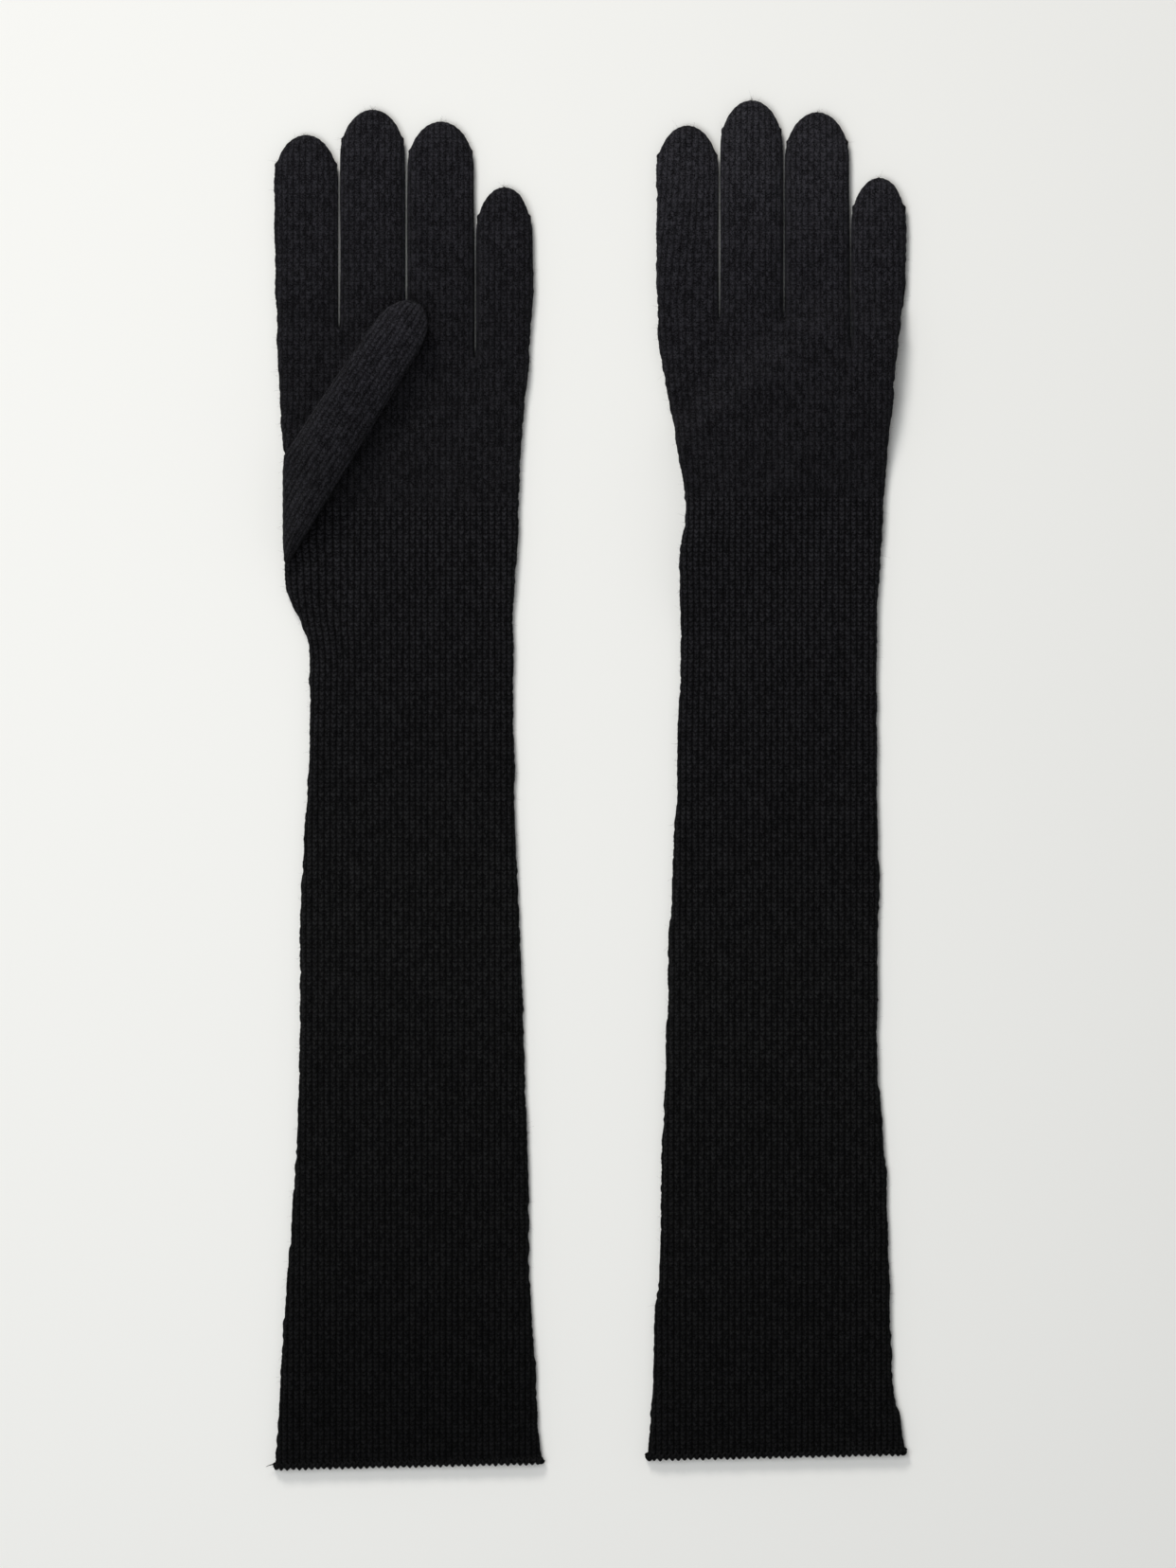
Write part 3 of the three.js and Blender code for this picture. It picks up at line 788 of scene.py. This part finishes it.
class Glove:
    def __init__(self, side, lay):
        self.side = side
        self.lay = lay
        low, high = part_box(f"{side}_cuff_edge")
        self.hem = low.y
        self.centre = joints[f"{side}_elbow_fold"]["pos_m"][0]
        self.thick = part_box(f"{side}_forearm_sleeve")[1].z
        self.middle = self.thick / 2
        self.places = np.arange(0, 340)
        self.uneven = np.random.default_rng(lay["ragged"]).uniform(-1, 1, (2, len(self.places)))
        self.readFingers()
        self.readOutline()
        self.readThumb()

    # The two side edges, cut from the sleeve's and the hand's solids at even steps up the arm.
    def readOutline(self):
        cuts = []
        for node in ("upper_sleeve", "forearm_sleeve", "hand"):
            points = verticesOf(f"{self.side}_{node}")
            mesh = frame["nodes"][f"{self.side}_{node}"].data
            ends = np.empty(len(mesh.edges) * 2, dtype=np.int32)
            mesh.edges.foreach_get("vertices", ends)
            ends = points[ends.reshape(-1, 2)]
            low, high = points[:, 1].min() + 0.001, points[:, 1].max() - 0.001
            for place in np.linspace(low, high, round((high - low) / outlineStep) + 1):
                crossing = ends[(ends[:, 0, 1] - place) * (ends[:, 1, 1] - place) < 0]
                share = (place - crossing[:, 0, 1]) / (crossing[:, 1, 1] - crossing[:, 0, 1])
                across = crossing[:, 0, 0] + share * (crossing[:, 1, 0] - crossing[:, 0, 0])
                cuts.append((place, across.min(), across.max()))
        cuts.append((cuts[-1][0] + 0.006, self.fingerEdges[0][0], self.fingerEdges[3][1]))
        cuts = np.array(cuts)
        self.leftCurve = smoothCurve(cuts[:, 0], cuts[:, 1])
        self.rightCurve = smoothCurve(cuts[:, 0], cuts[:, 2])
        trims = [np.array(self.lay[name]) for name in ("leftTrims", "rightTrims")]
        self.leftTrim, self.rightTrim = (smoothCurve(trim[:, 0], trim[:, 1] / 1000) for trim in trims)

    def outline(self, y):
        rise = y - self.hem
        ear = self.lay["earFlare"] * np.exp(-rise / ragged["earLength"])
        course = rise / knit["course"] * ragged["perCourse"]
        bumps = []
        for waves, uneven in zip(ragged["waves"], self.uneven):
            wave = sum(size * np.sin(rise * pace + start) for pace, start, size in waves)
            own = ragged["size"] * np.interp(course, self.places, uneven)
            bumps.append(self.lay["waves"] * wave + own)
        left = self.leftCurve(y) + self.leftTrim(rise) - ear + bumps[0]
        return left, self.rightCurve(y) + self.rightTrim(rise) + ear + bumps[1]

    # How far a place on the hem lies above its left end.
    def tilt(self, x):
        return self.lay["hemSlope"] * (x - self.leftCurve(self.hem))

    def readFingers(self):
        hand = verticesOf(f"{self.side}_hand")
        boxes = [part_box(f"{self.side}_{name}_finger_tip") for name in fingerNames]
        self.fingerEdges = [(low.x, high.x) for low, high in boxes]
        self.tips = [high.y for low, high in boxes]
        self.splits, self.crotches = [], []
        for i in range(3):
            edge, following = self.fingerEdges[i][1], self.fingerEdges[i + 1][0]
            self.splits.append((edge + following) / 2)
            self.crotches.append(hand[np.abs(hand[:, 0] - edge) < 2e-5, 1].min())

    def readThumb(self):
        fold = np.array(joints[f"{self.side}_thumb_fold"]["pos_m"])
        knuckle = np.array(joints[f"{self.side}_thumb_knuckle"]["pos_m"])
        along = (knuckle - fold)[:2]
        self.thumbRoot = fold[:2]
        self.thumbAlong = along / np.linalg.norm(along)
        self.knuckle = np.linalg.norm(along)
        points = verticesOf(f"{self.side}_thumb_tip")
        self.thumbLength = ((points[:, :2] - self.thumbRoot) @ self.thumbAlong).max()
        self.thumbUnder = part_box(f"{self.side}_thumb_tip")[0].z < self.thick / 2
        self.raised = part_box(f"{self.side}_hand")[1].z - self.thick

    # How far the cloth is raised by a thumb under it.
    def lift(self, x, y):
        if not self.thumbUnder:
            return np.zeros_like(x)
        start = self.thumbRoot - self.thumbAlong * thumbShape["rootWidth"]
        run = self.thumbAlong * (thumbShape["rootWidth"] + self.thumbLength - thumbShape["tipWidth"] / 2)
        share = ((x - start[0]) * run[0] + (y - start[1]) * run[1]) / (run @ run)
        share = np.clip(share, 0, 1)
        away = np.hypot(x - start[0] - share * run[0], y - start[1] - share * run[1])
        away -= thumbShape["rootWidth"] / 2 + cover["margin"]
        beside = (y - start[1]) * self.thumbAlong[0] - (x - start[0]) * self.thumbAlong[1]
        steep = smoothStep(beside, -0.012, 0.012)
        ramp = cover["longRamp"] + (cover["steepRamp"] - cover["longRamp"]) * steep
        return self.raised * (1 - smoothStep(away / ramp, 0, 1))

    # How far the palm swells under a thumb folded over it.
    def puffAt(self, x, y):
        if not self.lay["puff"]:
            return np.zeros_like(x)
        run = self.thumbAlong * (self.thumbLength - thumbShape["tipWidth"] / 2)
        start = self.thumbRoot - self.thumbAlong * 0.010
        share = np.clip(((x - start[0]) * run[0] + (y - start[1]) * run[1]) / (run @ run), 0, 1)
        away = np.hypot(x - start[0] - share * run[0], y - start[1] - share * run[1])
        away = away - thumbShape["tipWidth"] / 2
        return self.rise(x, y) * (1 - smoothStep(away, *puffRamp))

    # How far a thumb folded over the palm is lifted by that swelling.
    def rise(self, x, y):
        return self.lay["puff"] * smoothStep(x - self.leftCurve(y), 0.0, 0.016)

    def gap(self, lane, y):
        rise = y - self.crotches[lane]
        widening = 0.35 * smoothStep(rise, 0, 0.005) + 0.65 * smoothStep(rise, 0.005, 0.050)
        return knit["gap"] / 2 * widening * (1 + 0.5 * np.sin(rise * 90 + lane))

    # A lane's two edges. Lanes are the four fingers, carried on down through the hand and sleeve.
    def laneEdges(self, lane, y):
        outerLeft, outerRight = self.outline(y)
        left = outerLeft if lane == 0 else self.splits[lane - 1] + self.gap(lane - 1, y)
        right = outerRight if lane == 3 else self.splits[lane] - self.gap(lane, y)
        middle, half = (left + right) / 2, (right - left) / 2
        over = np.clip((y - (self.tips[lane] - tipRound)) / tipRound, 0, 1)
        tooth = smoothStep(over, tipStep["place"] - 0.14, tipStep["place"]) - smoothStep(
            over, tipStep["place"], tipStep["place"] + 0.05)
        half = half * np.sqrt(1 - over * over) + tipStep["size"] * tooth
        return middle - half, middle + half

    def halfAt(self, rise):
        full, flat = knit["halfThickness"], knit["sleeveHalf"]
        return flat + (full - flat) * smoothStep(rise, 0.26, 0.37)

    # How far in the columns are crowded beside the split after a lane: not at all below its crotch.
    def margin(self, lane, y):
        if not 0 <= lane < 3:
            return np.full_like(y, knit["edgeMargin"])
        return knit["edgeMargin"] * smoothStep(y, self.crotches[lane] - 0.010, self.crotches[lane] - 0.004)

    # How far points are from the nearest edge, and the way out to it.
    def edgeDistance(self, lane, x, y):
        outerLeft, outerRight = self.outline(y)
        best = np.full_like(x, 1.0)
        outX, outY = np.zeros_like(x), np.zeros_like(x)

        def nearer(distance, towardsX, towardsY):
            closer = distance < best
            best[closer] = distance[closer]
            outX[closer] = (towardsX + 0 * x)[closer]
            outY[closer] = (towardsY + 0 * x)[closer]

        if lane == 0:
            nearer(x - outerLeft, -1.0, 0.0)
        if lane == 3:
            nearer(outerRight - x, 1.0, 0.0)
        for i, sign in ((lane - 1, -1.0), (lane, 1.0)):
            if not 0 <= i < 3:
                continue
            split, crotch = self.splits[i], self.crotches[i]
            edge = split - sign * self.gap(i, y)
            open = y > crotch + 1e-7
            nearer(np.where(open, sign * (edge - x), 1.0), sign, 0.0)
            away = np.hypot(split - x, crotch - y)
            safe = np.maximum(away, 1e-9)
            nearer(np.where(open, 1.0, away), np.where(away < 1e-7, 0, (split - x) / safe),
                   np.where(away < 1e-7, 1.0, (crotch - y) / safe))
        shoulder = self.tips[lane] - tipRound
        tip = y > shoulder
        if tip.any():
            left, right = self.laneEdges(lane, np.minimum(y, shoulder))
            half, middle = (right - left) / 2, (left + right) / 2
            best[tip], outX[tip], outY[tip] = ovalDistance(
                (x - middle)[tip], (y - shoulder)[tip], half[tip], tipRound)
        return np.maximum(best, 0), outX, outY

    # The top or bottom face of one lane over the given rows.
    def laneSheet(self, lane, rows, top):
        left, right = self.laneEdges(lane, rows)
        margins = self.margin(lane - 1, rows), self.margin(lane, rows)
        x = columnPlaces(left, right, self.centre, *margins)
        y = np.repeat(rows[:, None], x.shape[1], axis=1)
        distance, outX, outY = self.edgeDistance(lane, x, y)
        rise = y - self.hem
        roundness = knit["sleeveRound"] + (knit["fingerRound"] - knit["sleeveRound"]) * smoothStep(
            y, self.crotches[0] - 0.03, self.crotches[0] + 0.01)
        half = self.halfAt(rise)
        curl, level, spread = turnOver(distance, roundness, half)
        across = (x + outX * spread - self.fan(x, y) - self.centre) / knit["wale"]
        up = (rise + outY * spread) / knit["course"] + self.lay["firstCourse"]
        sign = 1 if top else -1
        flatX, flatY = outX * curl / roundness, outY * curl / roundness
        outward = np.stack([flatX, flatY, sign * level / half], axis=-1)
        outward /= np.linalg.norm(outward, axis=-1, keepdims=True)
        z = self.middle - (knit["halfThickness"] - half) + self.lift(x, y) + sign * half * level
        if top:
            z = z + (self.softness(x, y) + self.puffAt(x, y)) * level
        tilt = self.tilt(x) * (1 - smoothStep(rise, 0.0, 0.05))
        points = np.stack([x, y + tilt, z], axis=-1)
        ribDepth = np.interp(rise, depths["places"], depths["rib"])
        stitchDepth = np.interp(rise, depths["places"], depths["stitch"])
        relief = stitchRelief(across, up, ribDepth, stitchDepth)
        points = points + outward * relief[..., None]
        return Sheet(points, outward, np.stack([across, up], axis=-1), rows, top)

    # Slow rises and falls of cloth that isn't stretched tight.
    def softness(self, x, y):
        a, b = x - self.centre, y - self.hem
        slow = np.sin(b * 58 + 2 * np.sin(a * 31)) * np.sin(a * 47 + b * 13 + 1)
        quick = np.sin(b * 131 + a * 60) * np.sin(a * 96 - b * 37)
        soft = softWaves["slow"] * slow + softWaves["quick"] * quick
        for startX, startY, endX, endY, width, depth in self.lay["creases"]:
            runX, runY = endX - startX, endY - startY
            share = ((a - startX) * runX + (b - startY) * runY) / (runX ** 2 + runY ** 2)
            held = np.clip(share, 0, 1)
            away = np.hypot(a - startX - held * runX, b - startY - held * runY)
            ends = smoothStep(share, -0.1, 0.3) * (1 - smoothStep(share, 0.7, 1.1))
            soft = soft - depth * np.exp(-((away / width) ** 2)) * ends
        return soft

    # The wales nearest the thumb's side lean with that edge instead of running straight up.
    def fan(self, x, y):
        wrist, top = self.hem + fanShape["from"], self.hem + self.lay["fanTop"]
        edge = self.outline(y)[0]
        shift = self.leftCurve(np.clip(y, wrist, top)) - self.leftCurve(np.full_like(y, wrist))
        beside = 1 - smoothStep(x - edge, fanShape["near"], fanShape["far"])
        return fanShape["share"] * shift * beside * (1 - smoothStep(y, top, top + fanShape["fade"]))


def ovalDistance(x, y, half, reach):
    share = np.maximum(np.sqrt((x / half) ** 2 + (y / reach) ** 2), 1e-6)
    slopeX, slopeY = x / half ** 2 / share, y / reach ** 2 / share
    steep = np.maximum(np.hypot(slopeX, slopeY), 1e-9)
    return (1 - share) / steep, slopeX / steep, slopeY / steep


def makeSleeveAndHand(glove, finishes):
    side, hem = glove.side, glove.hem
    stub = hem + seams["stubEnd"]
    wristEnd = hem + seams["forearmEnd"]
    cuts = [hem + seams[name] for name in ("hemEnd", "elbowEnd")]
    sleeveRows = rowPlaces(hem, hem + 0.0006, wristEnd, knit["sleeveRows"], [*cuts, wristEnd])
    fixed = [wristEnd, hem + seams["wristEnd"], *sorted(set(np.round(glove.crotches, 6))), stub]
    handRows = rowPlaces(hem, wristEnd, stub, knit["handRows"], fixed)
    rows = np.unique(np.concatenate([sleeveRows, handRows]))
    body = [glove.laneSheet(lane, rows, top) for lane in range(4) for top in (True, False)]
    fingers = []
    for lane in range(4):
        shoulder = glove.tips[lane] - tipRound
        turned = shoulder + tipRound * math.sin(tipTurn["from"])
        straight = rowPlaces(hem, stub, turned, knit["handRows"], [stub, fingerSeam(glove, lane)])
        turns = np.linspace(tipTurn["from"], math.pi / 2, tipTurn["fingerRows"])[1:]
        own = np.concatenate([straight, shoulder + tipRound * np.sin(turns)])
        fingers.append([glove.laneSheet(lane, own, top) for top in (True, False)])
    shadeSheets(body + [sheet for pair in fingers for sheet in pair])

    rib, plain = finishes["rib"], finishes["plain"]
    lengths = [
        ("upper_sleeve_hem_length", rows[0], cuts[0], "rib_knit", ["upper_sleeve"], rib),
        ("upper_sleeve_elbow_length", cuts[0], cuts[1], "rib_knit", ["upper_sleeve"], rib),
        ("forearm_length", cuts[1], wristEnd, "rib_knit", ["forearm_sleeve"], rib),
        ("wrist_length", wristEnd, hem + seams["wristEnd"], "rib_knit", ["forearm_sleeve", "hand"], rib),
        ("palm_and_back", hem + seams["wristEnd"], stub, "plain_knit", ["hand"], plain),
    ]
    made = {}
    for name, low, high, slot, nodes, material in lengths:
        piece = makeShell(f"{side}_{name}", body, low, high, material)
        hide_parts(*[f"{side}_{node}" for node in nodes])
        made[name] = piece
    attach(made["upper_sleeve_hem_length"], f"{side}_upper_arm")
    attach(made["forearm_length"], f"{side}_forearm")
    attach(made["palm_and_back"], f"{side}_palm")
    bendAt(made["upper_sleeve_elbow_length"])
    bendAt(made["wrist_length"])
    for lane, sheets in enumerate(fingers):
        name = fingerNames[lane]
        seam = fingerSeam(glove, lane)
        lower = makeShell(f"{side}_{name}_finger_root", sheets, stub, seam, plain)
        end = makeShell(f"{side}_{name}_finger_end", sheets, seam, glove.tips[lane], plain)
        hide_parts(f"{side}_{name}_finger_lower")
        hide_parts(f"{side}_{name}_finger_tip", f"{side}_{name}_finger_lower")
        bendAt(lower)
        bendAt(end)


# Where a finger's two visible lengths meet, between its two folds.
def fingerSeam(glove, lane):
    name = f"{glove.side}_{fingerNames[lane]}"
    return (joints[f"{name}_root_fold"]["pos_m"][1] + joints[f"{name}_middle_fold"]["pos_m"][1]) / 2


# Bakes a piece's placement into its mesh.
def bendAt(piece):
    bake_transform(piece)


def makeThumb(glove, finishes):
    side = glove.side
    root, along = glove.thumbRoot, glove.thumbAlong
    beside = np.array([along[1], -along[0]])
    tan = along[0] / along[1]
    halfRoot, halfTip = thumbShape["rootWidth"] / 2, thumbShape["tipWidth"] / 2
    reach = thumbShape["tipRound"]
    shoulder = glove.thumbLength - reach
    height = glove.middle
    if not glove.thumbUnder:
        height += glove.raisedOver + thumbShape["fullHalf"] - knit["halfThickness"] - thumbShape["settle"]
    other = glove.middle + (glove.raisedOver if glove.thumbUnder else 0)

    def halfAt(u):
        return halfRoot + (halfTip - halfRoot) * np.clip(u / shoulder, 0, 1)

    inset = thumbShape["underInset"] if glove.thumbUnder else 0.0
    roundness = thumbShape["round"] if glove.thumbUnder else thumbShape["fullRound"]
    thickness = knit["halfThickness"] if glove.thumbUnder else thumbShape["fullHalf"]

    def edges(u):
        over = np.clip((u - shoulder) / reach, 0, 1)
        half = halfAt(u) * np.sqrt(1 - over * over)
        return np.maximum(-half, np.minimum(inset / along[1] - u * tan, half)), half

    first = (inset / along[1] - halfRoot) / tan + thumbShape["blunt"]
    seam = glove.knuckle - thumbShape["seamBefore"]
    step = knit["course"] / knit["handRows"]
    straight = np.arange(first, shoulder + reach * math.sin(tipTurn["from"]), step)
    turns = np.linspace(tipTurn["from"], math.pi / 2, tipTurn["thumbRows"])[1:]
    straight = straight[np.abs(straight - seam) > step * 0.35]
    rows = np.unique(np.concatenate([straight, [seam], shoulder + reach * np.sin(turns)]))
    sheets = []
    for top in (True, False):
        left, right = edges(rows)
        margin = np.full_like(rows, knit["edgeMargin"])
        v = columnPlaces(left, right, 0.0, margin, margin)
        u = np.repeat(rows[:, None], v.shape[1], axis=1)
        half = halfAt(u)
        distance = half - np.abs(v)
        outV, outU = np.sign(v), np.zeros_like(v)
        tip = u > shoulder
        distance[tip], outV[tip], outU[tip] = ovalDistance(v[tip], (u - shoulder)[tip], half[tip], reach)
        foldAway = u * along[0] + v * along[1] - inset
        closer = foldAway < distance
        distance = np.where(closer, foldAway, distance)
        outV = np.where(closer, -along[1], outV)
        outU = np.where(closer, -along[0], outU)
        curl, level, spread = turnOver(np.maximum(distance, 0), roundness, thickness)
        across = (v + outV * spread) / knit["wale"]
        up = (u + outU * spread + glove.thumbRoot[1] - glove.hem) / knit["course"]
        up = up + thumbShape["paler"]
        sign = 1 if top else -1
        flat = (outV[..., None] * beside + outU[..., None] * along) * (curl / roundness)[..., None]
        outward = np.concatenate([flat, (sign * level / thickness)[..., None]], axis=-1)
        outward /= np.linalg.norm(outward, axis=-1, keepdims=True)
        place = root + v[..., None] * beside + u[..., None] * along
        sunk = 0 if glove.thumbUnder else thumbShape["sink"]
        sunk = sunk * (1 - smoothStep(u, first, first + thumbShape["sinkLength"]))
        z = height + sign * thickness * level + glove.rise(place[..., 0], place[..., 1]) - sunk
        points = np.concatenate([place, z[..., None]], axis=-1)
        relief = stitchRelief(across, up, depths["rib"][2], depths["stitch"][2])
        fadeIn = smoothStep(u, first, first + thumbShape["fadeIn"])
        points = points + outward * (relief * fadeIn)[..., None]
        sheets.append(Sheet(points, outward, np.stack([across, up], axis=-1), rows, top))

    # The cloth that turns round the fold, from the thumb's edge to the hand's.
    onFold = rows <= (halfRoot + inset / along[1]) / tan + 1e-9
    foldX = root[0] + inset
    start = sheets[0].points[onFold, 0]
    turn = np.linspace(0, 1, 9)
    places = rows[onFold]
    ends = np.minimum(places - places[0], places[-1] - places)
    taper = smoothStep(ends, 0, 0.006)[:, None]
    wallX = foldX - thumbShape["wallBulge"] * np.sin(math.pi * turn)[None] * taper + 0.0003 * turn[None]
    wallX = wallX + (start[:, :1] - foldX) * (1 - turn)[None]
    wallZ = start[:, 2:] + (other - start[:, 2:]) * turn[None] * taper
    wallY = np.repeat(start[:, 1:2], len(turn), axis=1)
    points = np.stack([wallX, wallY, wallZ], axis=-1)
    points[:, 0] = start
    counts = np.stack([
        sheets[0].counts[onFold, 0, 0][:, None] - turn[None] * abs(other - height) / knit["wale"],
        np.repeat(sheets[0].counts[onFold, 0, 1][:, None], len(turn), axis=1),
    ], axis=-1)
    outward = np.zeros_like(points)
    outward[..., 0] = -1
    wall = Sheet(points, outward, counts, places, other > height)
    wall.wall = knit["wall"] * (1 - np.repeat(turn[None], len(places), axis=0)[..., None] ** 4)
    sheets.append(wall)
    shadeSheets(sheets)

    lower = makeShell(f"{side}_thumb_root", sheets, rows[0], seam, finishes["plain"])
    end = makeShell(f"{side}_thumb_end", sheets[:2], seam, rows[-1], finishes["plain"])
    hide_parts(f"{side}_thumb_lower")
    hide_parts(f"{side}_thumb_tip", f"{side}_thumb_lower")
    down = -1 if glove.thumbUnder else 1
    x, y, z = joints[f"{side}_thumb_fold"]["pos_m"]
    start = (x, y, z - down * 0.0036)
    z + down * 0.0004
    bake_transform(lower)
    x, y, z = joints[f"{side}_thumb_knuckle"]["pos_m"]
    half = bends["finger"] / 2
    start = (x - half * along[0], y - half * along[1], z)
    stop = (x + half * along[0], y + half * along[1], z)
    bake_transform(end)


castOn = {
    "radius": 0.00110,
    "bumps": 1.0,           # how much a loop swells, as a share of the radius
    "paler": 45,            # courses further on in the painted ramp than the hem, so the edge is painted paler
    "yarnRadius": 0.00028,
    "yarnBend": (0.0, -0.0006, 0.0003),
    "uneven": 0.10,
    "slant": 0.55,
    "roundSteps": 14,
    "arcSteps": 30,
    "peak": 1.3,            # how sharp a loop's swelling is
    "yarnInset": 0.0006,    # how far in from the hem's corner the loose end starts
    "columnStep": 0.00038,
    "floorGap": 0.0001,
}


# The cast-on edge: a row of tight loops round the arm opening.
def makeCastOn(glove, finishes):
    side = glove.side
    y = glove.hem + castOn["radius"]
    left, right = (float(edge) for edge in glove.outline(np.array(y)))
    roundness, half = knit["sleeveRound"], knit["sleeveHalf"]
    count = int((right - left) / castOn["columnStep"])
    turn = np.linspace(0, math.pi, castOn["arcSteps"])
    sine, cosine = np.sin(turn)[1:-1], np.cos(turn)[1:-1]
    inner = np.linspace(left + roundness, right - roundness, count)
    even = np.ones(count)

    def ring(*parts):    # the top, the right end, the bottom, the left end and back to the start
        return np.concatenate([*parts, parts[0][:1]])

    arc = roundness * sine
    x = ring(inner, right - roundness + arc, inner[::-1], left + roundness - arc)
    z = ring(half * even, half * cosine, -half * even, -half * cosine)
    outX = ring(0 * even, sine / roundness, 0 * even, -sine / roundness)
    outZ = ring(even, cosine / half, -even, -cosine / half)
    size = np.hypot(outX, outZ)
    outX, outZ = outX / size, outZ / size
    walked = np.concatenate([[0], np.cumsum(np.hypot(np.diff(x), np.diff(z)))])
    loops = round(walked[-1] / knit["wale"])
    across = walked / walked[-1] * loops
    phi = np.linspace(0, 2 * math.pi, castOn["roundSteps"] + 1)
    slanted = across[:, None] + castOn["slant"] * phi[None] / (2 * math.pi)
    swell = np.abs(np.sin(math.pi * slanted)) ** castOn["peak"]
    swell = np.where(phi[None] == phi[-1], swell[:, :1], swell)
    uneven = 1 + castOn["uneven"] * np.sin(across * 2.1 + np.sin(across * 0.7) * 2)[:, None]
    uneven[-1] = uneven[0]
    radius = castOn["radius"] * (1 - castOn["bumps"] / 2 + castOn["bumps"] * swell) * uneven
    inset = knit["wall"] / 2 - radius * np.cos(phi)
    points = np.stack([
        x[:, None] - outX[:, None] * inset,
        (y + glove.tilt(x))[:, None] - radius * np.sin(phi),
        glove.middle - (knit["halfThickness"] - half) + z[:, None] - outZ[:, None] * inset,
    ], axis=-1)
    points[:, -1] = points[:, 0]
    points[-1] = points[0]
    counts = np.stack([
        np.repeat(across[:, None], len(phi), axis=1),
        np.repeat(phi[None] / math.pi + castOn["paler"], len(across), axis=0),
    ], axis=-1)
    sheet = Sheet(points, points * 0, counts, walked, False)
    shadeSheets([sheet])
    bake = np.stack([
        0.01 + 0.98 * np.repeat((walked / walked[-1])[:, None], len(phi), axis=1),
        0.01 + 0.92 * np.repeat((phi / (2 * math.pi))[None], len(across), axis=0),
    ], axis=-1)
    points[..., 2] = np.maximum(points[..., 2], castOn["floorGap"])
    grids = [(points, sheet.smooth, counts, bake, False)]
    if glove.lay["yarnEnd"]:
        flat = points.reshape(-1, 3)
        corner = flat[flat[:, 0].argmin()] + (castOn["yarnInset"], 0, 0)
        heading, bend = np.array(glove.lay["yarnEnd"]), np.array(castOn["yarnBend"])
        yarn = (corner, heading, bend, counts[0, 0])
        grids.append(hairTube(yarn, castOn["yarnRadius"], 0, 1))
    piece = makeMesh(f"{side}_cast_on_edge", grids, finishes["edge"])
    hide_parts(f"{side}_cuff_edge")
    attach(piece, f"{side}_upper_arm")


finishes = {
    # The second number sets how dark the painted shade in the grooves is.
    "rib": makeKnit("ribbed knit", 0.94, 0.86, 0.90),
    "plain": makeKnit("plain knit", 0.54, 0.72, 0.90),
    "edge": makeKnit("cast-on yarn", 0.60, 0.60, 0.85),
}
print("finishes made")
for side, lay in gloves.items():
    glove = Glove(side, lay)
    glove.raisedOver = max(glove.raised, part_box(f"{side}_thumb_tip")[0].z)
    makeSleeveAndHand(glove, finishes)
    print(side, "sleeve, hand and fingers made")
    makeThumb(glove, finishes)
    print(side, "thumb made")
    makeCastOn(glove, finishes)
    print(side, "cast-on edge made")
